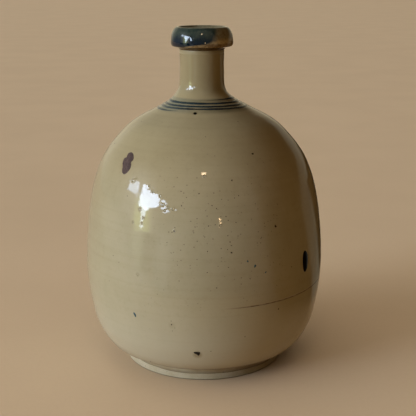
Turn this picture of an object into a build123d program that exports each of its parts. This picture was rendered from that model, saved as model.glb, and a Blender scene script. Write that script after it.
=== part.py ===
from build123d import *
import os
from math import cos, sin, radians, degrees, atan2, hypot, sqrt

os.makedirs("parts", exist_ok=True)

# A stoneware sake bottle (tokkuri): a full round belly thrown in two sections
# that are luted together low on the wall, a separately thrown neck set on the
# shoulder, and a heavy rolled lip. It is glazed in straw outside, in a thin
# liner glaze inside and in a dark glaze on the lip, with a brushed line wound
# round the foot of the neck. The turned foot is left bare and stands on z = 0.
# Origin: the middle of the foot's resting face, +Z up, front towards -Y.

# ---------------------------------------------------------------- dimensions
HEIGHT = 262.0          # foot to the crest of the lip
LUTE_Z = 69.0           # seam between the two belly sections
SHOULDER_Z = 199.0      # seam between shoulder and neck
NECK_TOP_Z = 247.8      # the rolled lip sits on the neck here
NECK_DX = -1.56         # the neck stands this far off the belly's axis in x

FOOT_R = 63.2           # foot ring, outside
FOOT_IN_R = 54.0        # foot ring, inside
FOOT_H = 5.1            # bare foot band, and the depth of the recess under it
FLOOR_R = 57.0          # the thrown floor, as a disc
FLOOR_TOP_Z = 11.0

WALL = 5.8              # clay wall
GLAZE = 0.5             # straw and lip glaze coats
LINER = 0.35            # liner glaze coat
BORE_R = 10.0           # finished bore of the neck
BORE_TOP_Z = 249.8

# Glazed outer surface of the belly as (radius, height), foot waist to shoulder
BODY = [
    (63.16, 5.3), (62.86, 6.9), (63.88, 8.8), (66.82, 10.6), (72, 12.7),
    (76.87, 15.7), (79.72, 18.9), (82.36, 22.8), (84.79, 27.4), (87.03, 32.5),
    (88.86, 38.6), (90.38, 45.7), (91.9, 54.8), (93.12, 65.0), (93.88, 77.2),
    (93.68, 89.4), (92.92, 101.6), (91.8, 113.7), (90.18, 125.9), (87.84, 138.1),
    (85, 148.3), (82.05, 156.4), (78.09, 164.5), (73.42, 171.6), (68.44, 177.7),
    (63.27, 183.3), (57.78, 188.4), (52.91, 191.9), (46.71, 195.5), (39.6, 199.0),
]
# Glazed outer surface of the neck as (radius, height), shoulder to lip
NECK = [
    (39.6, 199.0), (33.61, 202.1), (28.23, 205.1), (23.86, 208.2), (20.61, 211.2),
    (18.58, 214.3), (17.57, 217.3), (17.11, 221.4), (16.96, 227.5), (16.86, 234.6),
    (17.06, 241.7), (17.47, 247.8),
]
# Inside of the clay wall in the neck, shoulder to lip
NECK_IN = [
    (25.4, 199.0), (20.4, 202.7), (16.1, 206.5), (12.8, 210.7), (11.0, 214.8),
    (BORE_R + LINER, 219.0), (BORE_R + LINER, 228.0), (BORE_R + LINER, 238.0),
    (BORE_R + LINER, 247.8),
]


def slope_at(points, i):
    """dr/dz at a point of a (radius, height) list."""
    a, b = points[max(i - 1, 0)], points[min(i + 1, len(points) - 1)]
    return (b[0] - a[0]) / (b[1] - a[1])


def inward(points, t):
    """The list moved t along its inward normal."""
    out = []
    for i in range(len(points)):
        a, b = points[max(i - 1, 0)], points[min(i + 1, len(points) - 1)]
        dr, dz = b[0] - a[0], b[1] - a[1]
        n = hypot(dr, dz)
        out.append((points[i][0] - t * dz / n, points[i][1] + t * dr / n))
    return out


def shrunk(points, t):
    """The list with each radius cut back so that the coat is t thick."""
    return [(r - t * sqrt(1 + slope_at(points, i) ** 2), z)
            for i, (r, z) in enumerate(points)]


def axis_x(z):
    """Where the vessel's own axis stands in x at height z."""
    t = min(max((z - 200.8) / 13.2, 0.0), 1.0)
    return NECK_DX * t * t * (3 - 2 * t)


def surface(z):
    """Radius and slope of the glazed surface at height z."""
    points = BODY if z <= SHOULDER_Z else NECK
    i = max(k for k in range(len(points) - 1) if points[k][1] <= z)
    (r0, z0), (r1, z1) = points[i], points[i + 1]
    t = (z - z0) / (z1 - z0)
    s0, s1 = slope_at(points, i), slope_at(points, i + 1)
    h = z1 - z0
    r = ((2 * t**3 - 3 * t**2 + 1) * r0 + (t**3 - 2 * t**2 + t) * h * s0
         + (3 * t**2 - 2 * t**3) * r1 + (t**3 - t**2) * h * s1)
    return r, s0 + (s1 - s0) * t


# Belly and neck profiles run on past the shoulder seam before they are cut at
# it, so that the surface crosses the seam without a crease.
BODY_RUN = BODY + [NECK[1]]
NECK_RUN = BODY[-4:-1] + NECK
# Clay surface under the straw glaze
NECK_CLAY = shrunk(NECK_RUN, GLAZE)
BODY_CLAY = [(FOOT_R - 0.5, FOOT_H)] + inward(BODY, GLAZE)[1:-1] + NECK_CLAY[3:5]
# Inside of the clay wall: rounded corner at the floor, then the wall offset
WALL_IN = [(FLOOR_R, FLOOR_TOP_Z), (63.0, 12.2), (68.4, 15.6), (72.8, 20.4)]
WALL_IN += [p for p in inward(BODY, GLAZE + WALL)[7:-1] if 23.0 < p[1] < 192.5]
WALL_IN += [(31.8, 195.7), NECK_IN[0], NECK_IN[1]]
# Finished inside surface of the liner glaze
HOLLOW_RUN = [(31.8, 195.7)] + NECK_IN[:6]
PASSAGE_RUN = shrunk(HOLLOW_RUN, LINER)[:6] + [(BORE_R, NECK_IN[5][1])]
WALL_LINED = [(FLOOR_R, FLOOR_TOP_Z + LINER)] + inward(WALL_IN, LINER)[1:-2]
WALL_LINED += PASSAGE_RUN[1:3]

# ------------------------------------------------------------------ clay body
# Turned foot ring: bare, slightly rounded on the edge that meets the table
with BuildPart() as foot_ring:
    with BuildSketch(Plane.XZ):
        with BuildLine():
            Polyline((FOOT_IN_R, 0.6), (FOOT_IN_R + 0.6, 0), (FOOT_R - 1.2, 0),
                     (FOOT_R - 0.3, 0.5), (FOOT_R, 1.3), (FOOT_R, FOOT_H - 0.5),
                     (FOOT_R - 0.5, FOOT_H), (FOOT_IN_R - 1.0, FOOT_H),
                     close=True)
        make_face()
    revolve(axis=Axis.Z)
foot_ring.part.label = "foot_ring"
export_step(foot_ring.part, "parts/foot_ring.step")

# Thrown floor of the bottle, over the recess in the foot
with BuildPart() as base_disc:
    with BuildSketch(Plane.XY.offset(FOOT_H)):
        Circle(FLOOR_R)
    extrude(amount=FLOOR_TOP_Z - FOOT_H)
base_disc.part.label = "base_disc"
export_step(base_disc.part, "parts/base_disc.step")

# Both belly sections are cut from the whole wall at the luted seam
with BuildPart() as belly_wall:
    with BuildSketch(Plane.XZ):
        with BuildLine():
            Spline(*BODY_CLAY)
            Line(BODY_CLAY[-1], WALL_IN[-1])
            Spline(*list(reversed(WALL_IN)))
            Polyline(WALL_IN[0], (FLOOR_R, FOOT_H), BODY_CLAY[0])
        make_face()
    revolve(axis=Axis.Z)
    split(bisect_by=Plane.XY.offset(SHOULDER_Z), keep=Keep.BOTTOM)

# Lower belly section, foot waist to the luted seam
with BuildPart() as belly_lower:
    add(belly_wall.part)
    split(bisect_by=Plane.XY.offset(LUTE_Z), keep=Keep.BOTTOM)
belly_lower.part.label = "belly_lower"
export_step(belly_lower.part, "parts/belly_lower.step")

# Upper belly section with the shoulder, luted seam to the neck seam
with BuildPart() as belly_upper:
    add(belly_wall.part)
    split(bisect_by=Plane.XY.offset(LUTE_Z), keep=Keep.TOP)
belly_upper.part.label = "belly_upper"
export_step(belly_upper.part, "parts/belly_upper.step")

# The hollow inside the neck's clay, and the clay's own outer shape
with BuildPart() as neck_hollow:
    for r, z in HOLLOW_RUN:
        with BuildSketch(Plane.XY.offset(z)):
            with Locations((axis_x(z), 0)):
                Circle(r)
    loft()
    with BuildSketch(Plane.XY.offset(HOLLOW_RUN[-1][1])):
        with Locations((NECK_DX, 0)):
            Circle(BORE_R + LINER)
    extrude(amount=NECK_TOP_Z - HOLLOW_RUN[-1][1])
    split(bisect_by=Plane.XY.offset(SHOULDER_Z), keep=Keep.TOP)

with BuildPart() as neck_core:
    for r, z in NECK_CLAY:
        with BuildSketch(Plane.XY.offset(z)):
            with Locations((axis_x(z), 0)):
                Circle(r)
    loft()
    split(bisect_by=Plane.XY.offset(SHOULDER_Z), keep=Keep.TOP)

# Neck, thrown apart and set on the shoulder a little off the belly's axis
with BuildPart() as neck:
    add(neck_core.part)
    add(neck_hollow.part, mode=Mode.SUBTRACT)
neck.part.label = "neck"
export_step(neck.part, "parts/neck.step")

# Rolled lip: a heavy collar turned over the top of the neck. Sections are
# drawn at y = 0 and turned about the neck's own axis.
NECK_AXIS = Axis((NECK_DX, 0, 0), (0, 0, 1))
LIP = [  # glazed surface, fillet on the neck, round the outside, into the mouth
    (17.3, 245.2), (17.9, 246.1), (19.4, 246.9), (21.3, 247.25), (22.8, 247.65),
    (23.6, 248.9), (23.7, 250.8),
    (23.45, 253.4), (23.05, 255.9), (22.3, 258.2), (21.2, 260.3), (19.9, 261.6),
    (18.8, HEIGHT), (17.7, 261.6), (16.7, 260.2), (15.6, 258.0), (14.4, 255.7),
]
LIP_CLAY = [
    (21.9, 247.8), (22.7, 248.1), (23.15, 249.2), (23.2, 250.8),
    (22.95, 253.3), (22.55, 255.7), (21.82, 257.95), (20.8, 259.95),
    (19.6, 261.15), (18.8, 261.5), (18.05, 261.2), (17.15, 259.9),
    (16.05, 257.75), (14.85, 255.45),
]
MOUTH_IN = [(14.85, 255.45), (13.2, 253.0), (11.6, 251.0), (BORE_R + LINER, 249.2)]
MOUTH_LINED = [(14.4, 255.7), (12.8, 253.3), (11.3, 251.4), (BORE_R, BORE_TOP_Z)]


def at_neck(points):
    return [(NECK_DX + r, z) for r, z in points]


with BuildPart() as mouth_collar:
    with BuildSketch(Plane.XZ):
        with BuildLine():
            Spline(*at_neck(LIP_CLAY))
            Polyline(*at_neck(MOUTH_IN), (NECK_DX + BORE_R + LINER, NECK_TOP_Z),
                     *at_neck([LIP_CLAY[0]]))
        make_face()
    revolve(axis=NECK_AXIS)
mouth_collar.part.label = "mouth_collar"
export_step(mouth_collar.part, "parts/mouth_collar.step")

# --------------------------------------------------------------------- glazes
# The neck's own envelope as a plug, and its share of the straw coat, which
# stops where the dark glaze has pooled under the lip
with BuildPart() as neck_envelope:
    for r, z in NECK_RUN:
        with BuildSketch(Plane.XY.offset(z)):
            with Locations((axis_x(z), 0)):
                Circle(r)
    loft()
    split(bisect_by=Plane.XY.offset(SHOULDER_Z), keep=Keep.TOP)

with BuildPart() as neck_coat:
    add(neck_envelope.part)
    add(neck_core.part, mode=Mode.SUBTRACT)
    split(bisect_by=Plane.XY.offset(LIP[0][1]), keep=Keep.BOTTOM)

# Straw glaze over belly, shoulder and neck, in one coat down to the bare foot
with BuildPart() as straw_glaze:
    with BuildSketch(Plane.XZ):
        with BuildLine():
            Spline(*BODY_RUN)
            Line(BODY_RUN[-1], BODY_CLAY[-1])
            Spline(*list(reversed(BODY_CLAY)))
            Line(BODY_CLAY[0], BODY_RUN[0])
        make_face()
    revolve(axis=Axis.Z)
    split(bisect_by=Plane.XY.offset(SHOULDER_Z), keep=Keep.BOTTOM)
    add(neck_coat.part)
straw_glaze.part.label = "straw_glaze"
export_step(straw_glaze.part, "parts/straw_glaze.step")

# Dark lip glaze, from under the collar's edge over the crest into the mouth
with BuildPart() as lip_glaze:
    with BuildSketch(Plane.XZ):
        with BuildLine():
            Spline(*at_neck(LIP))
            Line(*at_neck([LIP[-1], LIP_CLAY[-1]]))
            Spline(*at_neck(list(reversed(LIP_CLAY))))
            Polyline(*at_neck([LIP_CLAY[0], (15.0, NECK_TOP_Z), (15.0, LIP[0][1]), LIP[0]]))
        make_face()
    revolve(axis=NECK_AXIS)
    add(neck_core.part, mode=Mode.SUBTRACT)
lip_glaze.part.label = "lip_glaze"
export_step(lip_glaze.part, "parts/lip_glaze.step")

# The passage left inside the lined neck, and the liner in the neck and mouth
with BuildPart() as passage:
    for r, z in PASSAGE_RUN:
        with BuildSketch(Plane.XY.offset(z)):
            with Locations((axis_x(z), 0)):
                Circle(r)
    loft()
    with BuildSketch(Plane.XY.offset(PASSAGE_RUN[-1][1])):
        with Locations((NECK_DX, 0)):
            Circle(BORE_R)
    extrude(amount=NECK_TOP_Z - PASSAGE_RUN[-1][1])
    split(bisect_by=Plane.XY.offset(SHOULDER_Z), keep=Keep.TOP)

with BuildPart() as neck_liner:
    add(neck_hollow.part)
    add(passage.part, mode=Mode.SUBTRACT)

with BuildPart() as mouth_liner:
    with BuildSketch(Plane.XZ):
        with BuildLine():
            Polyline(*at_neck([(BORE_R, NECK_TOP_Z), (BORE_R + LINER, NECK_TOP_Z)]
                              + list(reversed(MOUTH_IN)) + MOUTH_LINED),
                     close=True)
        make_face()
    revolve(axis=NECK_AXIS)

# Liner glaze: floor, belly wall, shoulder and bore, up to the lip glaze
with BuildPart() as liner_glaze:
    with BuildSketch(Plane.XZ):
        with BuildLine():
            Polyline((0, FLOOR_TOP_Z + LINER), (0, FLOOR_TOP_Z), WALL_IN[0])
            Spline(*WALL_IN)
            Line(WALL_IN[-1], WALL_LINED[-1])
            Spline(*list(reversed(WALL_LINED)))
            Line(WALL_LINED[0], (0, FLOOR_TOP_Z + LINER))
        make_face()
    revolve(axis=Axis.Z)
    split(bisect_by=Plane.XY.offset(SHOULDER_Z), keep=Keep.BOTTOM)
    add(neck_liner.part)
    add(mouth_liner.part)
liner_glaze.part.label = "liner_glaze"
export_step(liner_glaze.part, "parts/liner_glaze.step")

# ----------------------------------------------------------------- decoration
# Everything outside the glazed surface is cut back by this solid envelope, so
# that each brushed line and spot lies on the glaze face to face.
with BuildPart() as envelope:
    with BuildSketch(Plane.XZ):
        with BuildLine():
            Spline(*BODY_RUN)
            Polyline(BODY_RUN[-1], (0, BODY_RUN[-1][1]), (0, BODY_RUN[0][1]),
                     BODY_RUN[0])
        make_face()
    revolve(axis=Axis.Z)
    split(bisect_by=Plane.XY.offset(SHOULDER_Z), keep=Keep.BOTTOM)
    add(neck_envelope.part)

# Brushed line round the foot of the neck, one solid per turn of the brush. The
# stroke is a low ridge, square to the slope of the glaze.
LINE_TURNS = [208.7, 206.8, 204.8, 203.1]
LINE_W, LINE_T = 0.95, 0.40
with BuildPart() as shoulder_lines:
    for z in LINE_TURNS:
        dx, (r, slope) = axis_x(z), surface(z)
        tilt = degrees(atan2(1.0, slope))
        with BuildSketch(Plane.XZ):
            with Locations(Location((dx + r, z, 0), (0, 0, tilt))):
                Polygon((-LINE_W, -0.4), (LINE_W, -0.4), (LINE_W, 0.1),
                        (0.6 * LINE_W, LINE_T), (-0.6 * LINE_W, LINE_T),
                        (-LINE_W, 0.1), align=None)
        revolve(axis=Axis((dx, 0, 0), (0, 0, 1)))
    add(envelope.part, mode=Mode.SUBTRACT)
shoulder_lines.part.label = "shoulder_lines"
export_step(shoulder_lines.part, "parts/shoulder_lines.step")


def lens(azimuth, z, half_w, half_h, proud, lean=0.0):
    """A low lens standing on the glaze at an azimuth and height, half_w round
    the vessel and half_h up the wall; lean turns it in the wall."""
    a = radians(azimuth)
    r, slope = surface(z)
    n = hypot(1.0, slope)
    out = Vector(cos(a) / n, sin(a) / n, -slope / n)
    plane = Plane(origin=(r * cos(a) + axis_x(z), r * sin(a), z),
                  x_dir=(-sin(a), cos(a), 0), z_dir=out)
    blob = scale(Solid.make_sphere(1.0), by=(half_w, half_h, proud))
    return plane.location * Rotation(0, 0, lean) * blob


# Iron spots that melted through the glaze
SPOTS = [  # azimuth, height, half width, half height, proud, lean
    (-100.3, 201.0, 1.9, 1.5, 0.35, 0),
    (-35.9, 93.0, 3.4, 8.3, 0.45, 0),
    (-93.2, 32.4, 2.3, 1.5, 0.35, 0),
    (-123.1, 58.9, 0.8, 1.9, 0.3, 0),
]
SPOT_LENSES = [lens(*spot) for spot in SPOTS]
with BuildPart() as iron_spots:
    for blob in SPOT_LENSES:
        add(blob)
    add(envelope.part, mode=Mode.SUBTRACT)
iron_spots.part.label = "iron_spots"
export_step(iron_spots.part, "parts/iron_spots.step")

# Dry brown patch on the shoulder, in two lobes
PATCH = [
    (-136.2, 171.6, 3.6, 5.0, 0.5, -12),
    (-136.2, 164.6, 4.1, 6.8, 0.6, -12),
]
PATCH_LENSES = [lens(*lobe) for lobe in PATCH]
with BuildPart() as dry_patch:
    for blob in PATCH_LENSES:
        add(blob)
    add(envelope.part, mode=Mode.SUBTRACT)
dry_patch.part.label = "dry_patch"
export_step(dry_patch.part, "parts/dry_patch.step")

for piece in (foot_ring, base_disc, belly_lower, belly_upper, neck, mouth_collar,
              straw_glaze, lip_glaze, liner_glaze, shoulder_lines, iron_spots,
              dry_patch):
    solids = piece.part.solids()
    print(piece.part.label, len(solids), "solid(s)",
          round(sum(s.volume for s in solids) / 1000.0, 2), "cm3",
          "valid" if piece.part.is_valid else "NOT VALID")
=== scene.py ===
import math

import bpy
import numpy as np
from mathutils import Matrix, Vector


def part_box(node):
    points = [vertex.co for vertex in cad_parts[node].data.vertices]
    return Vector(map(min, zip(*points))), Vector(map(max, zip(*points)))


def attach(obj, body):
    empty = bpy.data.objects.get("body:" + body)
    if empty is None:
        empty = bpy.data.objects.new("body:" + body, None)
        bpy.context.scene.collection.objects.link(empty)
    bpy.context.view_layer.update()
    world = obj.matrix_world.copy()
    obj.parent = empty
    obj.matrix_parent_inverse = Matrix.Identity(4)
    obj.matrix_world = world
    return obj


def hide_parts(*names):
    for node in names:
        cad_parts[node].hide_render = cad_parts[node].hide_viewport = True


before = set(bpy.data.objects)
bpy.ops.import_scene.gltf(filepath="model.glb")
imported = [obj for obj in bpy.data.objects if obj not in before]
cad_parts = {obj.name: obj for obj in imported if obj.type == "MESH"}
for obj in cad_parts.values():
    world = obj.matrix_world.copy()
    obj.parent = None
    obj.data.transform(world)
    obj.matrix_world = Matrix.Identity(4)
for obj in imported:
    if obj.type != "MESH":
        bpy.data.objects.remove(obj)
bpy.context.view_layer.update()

# ------------------------------------------------------------------ the frame
FOOT_LO, FOOT_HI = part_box("foot_ring")
LIP_LO, LIP_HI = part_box("lip_glaze")
CLAY_LO, CLAY_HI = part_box("mouth_collar")
DISC_LO, DISC_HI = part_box("base_disc")
MM = 0.001
NECK_X = (LIP_LO.x + LIP_HI.x) / 2 / MM        # the neck's own axis, in mm
TOP_Z = LIP_HI.z / MM
FOOT_R = (FOOT_HI.x - FOOT_LO.x) / 2 / MM
FOOT_H = FOOT_HI.z / MM
FLOOR_R = (DISC_HI.x - DISC_LO.x) / 2 / MM
FLOOR_Z = DISC_HI.z / MM
RING_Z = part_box("belly_upper")[0].z / MM       # the luted seam
rng = np.random.default_rng(20260)

# Outer surface of the glaze, (radius, height) in mm from the foot to the lip
BODY = [
    (63.16, 5.3), (62.86, 6.9), (63.88, 8.8), (66.82, 10.6), (72, 12.7),
    (76.87, 15.7), (79.72, 18.9), (82.36, 22.8), (84.79, 27.4), (87.03, 32.5),
    (88.86, 38.6), (90.38, 45.7), (91.9, 54.8), (93.12, 65.0), (93.88, 77.2),
    (93.68, 89.4), (92.92, 101.6), (91.8, 113.7), (90.18, 125.9), (87.84, 138.1),
    (85, 148.3), (82.05, 156.4), (78.09, 164.5), (73.42, 171.6), (68.44, 177.7),
    (63.27, 183.3), (57.78, 188.4), (52.91, 191.9), (46.71, 195.5), (39.6, 199.0),
    (33.61, 202.1), (28.23, 205.1), (23.86, 208.2), (20.61, 211.2),
    (18.58, 214.3), (17.57, 217.3), (17.11, 221.4), (16.96, 227.5), (16.86, 234.6),
    (17.03, 241.0), (17.10, 245.9),
]
LIP = [
    (17.2, 245.0), (17.9, 246.1), (19.4, 246.9), (21.3, 247.25), (22.8, 247.65),
    (23.6, 248.9), (23.7, 250.8), (23.45, 253.4), (23.05, 255.9), (22.3, 258.2),
    (21.2, 260.3), (19.9, 261.6), (18.8, 262.0), (17.7, 261.6), (16.7, 260.2),
    (15.6, 258.0), (14.4, 255.7),
]
LIP_CLAY = [
    (16.9, 245.2), (17.0, 247.0), (17.4, 247.7), (21.9, 247.85), (22.7, 248.1), (23.15, 249.2), (23.2, 250.8),
    (22.95, 253.3), (22.55, 255.7), (21.82, 257.95), (20.8, 259.95),
    (19.6, 261.15), (18.8, 261.5), (18.05, 261.2), (17.15, 259.9),
    (16.05, 257.75), (14.85, 255.45),
]
LINED = [  # inside face of the liner, from the lip down to the middle of the floor
    (14.4, 255.7), (12.8, 253.3), (11.3, 251.4), (10.15, 249.8), (10.0, 247.0),
    (10.0, 238.0), (10.0, 228.0), (10.0, 219.0), (10.6, 214.8), (12.4, 210.7),
    (15.6, 206.5), (19.8, 202.7), (24.7, 199.0), (31.3, 195.4), (43.6, 189.6),
    (53.5, 183.3), (63.4, 173.3), (72.3, 161.2), (78.7, 146.3), (83.6, 124.8),
    (86.3, 101.1), (87.2, 77.4), (85.3, 55.7), (82.4, 40.2), (76.7, 26.2),
    (68.2, 15.9), (62.9, 12.5), (57.0, 11.35), (40.0, 11.35), (20.0, 11.35),
    (3.0, 11.35),
]


# ------------------------------------------------------------------ mesh tools
def catmull(points, per=30, closed=False):
    """A smooth curve through the points, sampled per times in each span."""
    p = np.array(points, float)
    if closed:
        p = np.vstack([p[-1], p, p[0], p[1]])
    else:
        p = np.vstack([2 * p[0] - p[1], p, 2 * p[-1] - p[-2]])
    out = []
    for i in range(1, len(p) - 2):
        a, b, c, d = p[i - 1], p[i], p[i + 1], p[i + 2]
        t0 = 0.0
        t1 = t0 + max(np.linalg.norm(b - a), 1e-9) ** 0.5
        t2 = t1 + max(np.linalg.norm(c - b), 1e-9) ** 0.5
        t3 = t2 + max(np.linalg.norm(d - c), 1e-9) ** 0.5
        t = np.linspace(t1, t2, per, endpoint=False)[:, None]
        ab = (t1 - t) / (t1 - t0) * a + (t - t0) / (t1 - t0) * b
        bc = (t2 - t) / (t2 - t1) * b + (t - t1) / (t2 - t1) * c
        cd = (t3 - t) / (t3 - t2) * c + (t - t2) / (t3 - t2) * d
        abc = (t2 - t) / (t2 - t0) * ab + (t - t0) / (t2 - t0) * bc
        bcd = (t3 - t) / (t3 - t1) * bc + (t - t1) / (t3 - t1) * cd
        out.append((t2 - t) / (t2 - t1) * abc + (t - t1) / (t2 - t1) * bcd)
    if not closed:
        out.append(p[-2][None])
    return np.vstack(out)


def spaced(curve, gap):
    """The curve resampled so that its steps are gap(point) long."""
    seg = np.linalg.norm(np.diff(curve, axis=0), axis=1)
    mid = (curve[1:] + curve[:-1]) / 2
    want = np.array([gap(m) for m in mid])
    cum = np.concatenate([[0], np.cumsum(seg / want)])
    n = max(int(math.ceil(cum[-1])), 2)
    t = np.linspace(0, cum[-1], n + 1)
    return np.stack([np.interp(t, cum, curve[:, k]) for k in range(curve.shape[1])], 1)


def build(name, verts, quads, uvs, mat, tris=()):
    """A smooth-shaded object from verts in mm, quads with one uv per corner."""
    me = bpy.data.meshes.new(name)
    faces = [list(map(int, q)) for q in quads] + [list(map(int, t)) for t in tris]
    me.from_pydata((np.asarray(verts) * MM).tolist(), [], faces)
    if uvs is not None:
        layer = me.uv_layers.new(name="OFBake")
        layer.data.foreach_set("uv", np.asarray(uvs, np.float32).ravel())
    me.polygons.foreach_set("use_smooth", [True] * len(me.polygons))
    me.materials.append(mat)
    me.update()
    co = np.zeros(len(me.vertices) * 3)
    me.vertices.foreach_get("co", co)
    co = co.reshape(-1, 3)
    me.calc_loop_triangles()
    tri = np.zeros(len(me.loop_triangles) * 3, int)
    me.loop_triangles.foreach_get("vertices", tri)
    a, b, c = (co[tri.reshape(-1, 3)[:, k]] for k in range(3))
    if np.einsum("ij,ij->i", a, np.cross(b, c)).sum() < 0:
        me.flip_normals()
    ob = bpy.data.objects.new(name, me)
    bpy.context.scene.collection.objects.link(ob)
    return ob


def ringed(name, rings, mat, cap_start=False, cap_end=False, loop=True, box=(0, 1, 0, 1)):
    """A solid from rings of equal length, each (n, 3) in mm. loop joins the last
    ring to the first; caps close an end onto a middle point."""
    m, n = len(rings), len(rings[0])
    v = np.vstack(rings)
    step = [0.0]
    for i in range(1, m + (1 if loop else 0)):
        d = rings[i % m] - rings[i - 1]
        step.append(step[-1] + max(float(np.linalg.norm(d, axis=1).mean()), 1e-3))
    along = np.array(step) / step[-1]
    u0, u1, v0, v1 = box
    quads, uvs = [], []
    j = np.arange(n)
    jn = (j + 1) % n
    ua, ub = u0 + (u1 - u0) * j / n, u0 + (u1 - u0) * (j + 1) / n
    for i in range(m if loop else m - 1):
        k = (i + 1) % m
        quads.append(np.stack([i * n + j, i * n + jn, k * n + jn, k * n + j], 1))
        va, vb = v0 + (v1 - v0) * along[i], v0 + (v1 - v0) * along[i + 1]
        uv = np.stack([np.stack([ua, np.full(n, va)], 1), np.stack([ub, np.full(n, va)], 1),
                       np.stack([ub, np.full(n, vb)], 1), np.stack([ua, np.full(n, vb)], 1)], 1)
        uvs.append(uv.reshape(-1, 2))
    quads, uvs, tris = np.vstack(quads), np.vstack(uvs), []
    tri_uv = []
    for cap, i, side in ((cap_start, 0, v0), (cap_end, m - 1, v1)):
        if not cap:
            continue
        centre = len(v)
        v = np.vstack([v, rings[i].mean(0)])
        for a in range(n):
            b = (a + 1) % n
            tris.append((i * n + b, i * n + a, centre) if i == 0 else (i * n + a, i * n + b, centre))
            q = [(ub[a], side), (ua[a], side), ((ua[a] + ub[a]) / 2, side)]
            tri_uv += q if i == 0 else [q[1], q[0], q[2]]
    if tris:
        uvs = np.vstack([uvs, np.array(tri_uv)])
    return build(name, v, quads, uvs, mat, tris)


# ------------------------------------------------------------- the glaze skin
CURVE = catmull(BODY)
_d = np.gradient(CURVE, axis=0)
_d /= np.linalg.norm(_d, axis=1)[:, None]
Z_OF, R_OF, NR_OF, NZ_OF = CURVE[:, 1], CURVE[:, 0], _d[:, 1], -_d[:, 0]


def axis_x(z):
    """Where the vessel's own axis stands in x at height z."""
    t = np.clip((z - 200.8) / 13.2, 0.0, 1.0)
    return NECK_X * t * t * (3 - 2 * t)


def ease(x, a, b):
    t = np.clip((x - a) / (b - a), 0.0, 1.0)
    return t * t * (3 - 2 * t)


def hump(x, width):
    return np.exp(-(x / width) ** 2)


# The thrown rings: each one is a slow spiral with its own depth
RINGS = [(float(rng.uniform(0.6, 1.0)), float(w), float(rng.uniform(0, 6.28)),
          float(rng.uniform(0.2, 0.7)), float(rng.uniform(0, 6.28)))
         for w in (4.6, 6.3, 8.9, 13.5, 21.0)]
RING_AMP = (0.004, 0.007, 0.011, 0.018, 0.028)
WOBBLE = [(k, float(rng.uniform(0, 6.28)), float(rng.uniform(0, 6.28)),
           float(rng.uniform(25, 70))) for k in (2, 3, 4, 5, 7)]


def seam_line(th):
    """Height of the luted seam's line round the belly, and how strongly it shows."""
    deg = (np.degrees(th) + 90.0) % 360.0          # 0 at the front, 90 at the right
    level = RING_Z + 0.12 + 0.22 * np.sin(th + 0.9)
    show = ease(deg, 8.0, 22.0) * (1 - ease(deg, 215.0, 275.0))
    return level, show


def relief(th, z):
    """How far the glazed surface stands off its smooth profile, in mm."""
    out = 0.0
    for (gain, wave, ph, wander, ph2), amp in zip(RINGS, RING_AMP):
        out = out + amp * gain * np.sin(2 * np.pi * (z + 1.2 * th / 6.283) / wave + ph
                                        + wander * np.sin(th + ph2))
    for k, ph, ph2, tall in WOBBLE:
        out = out + 0.045 / k * np.sin(k * th + ph) * np.sin(z / tall + ph2)
    out = out * ease(z, 6, 16) * (1 - 0.45 * ease(z, 205, 218))
    level, show = seam_line(th)
    d = z - level
    out = out - 0.16 * show * hump(d, 0.42) + 0.05 * show * hump(d - 1.0, 0.7)
    out = out - 0.05 * hump(d - 9.0, 0.8) * ease(np.sin(th + 2.2), 0.0, 0.8)
    out = out - 0.04 * hump(d - 13.5, 0.7) * ease(np.sin(th + 2.6), 0.1, 0.9)
    out = out + 0.04 * hump(d + 14.0, 1.5)
    # the glaze gathers in a low roll over the bare foot
    out = out + 0.16 * hump(z - 7.2, 1.5) * (0.75 + 0.25 * np.sin(3 * th + 0.7) * np.sin(5 * th))
    return out


def skin(th, z, lift=0.0):
    """Points on the glaze at azimuth th and height z, lift mm off it."""
    th, z = np.broadcast_arrays(np.asarray(th, float), np.asarray(z, float))
    r, nr, nz = (np.interp(z, Z_OF, a) for a in (R_OF, NR_OF, NZ_OF))
    off = relief(th, z) + lift
    rr = r + off * nr
    return np.stack([axis_x(z) + rr * np.cos(th), rr * np.sin(th), z + off * nz], -1)


def plain(th, z, lift):
    """The same without the relief: the clay under the glaze."""
    r, nr, nz = (np.interp(z, Z_OF, a) for a in (R_OF, NR_OF, NZ_OF))
    rr = (r + lift * nr) + 0 * th
    return np.stack([axis_x(z) + rr * np.cos(th), rr * np.sin(th),
                     np.broadcast_to(z + lift * nz, th.shape)], -1)


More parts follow.
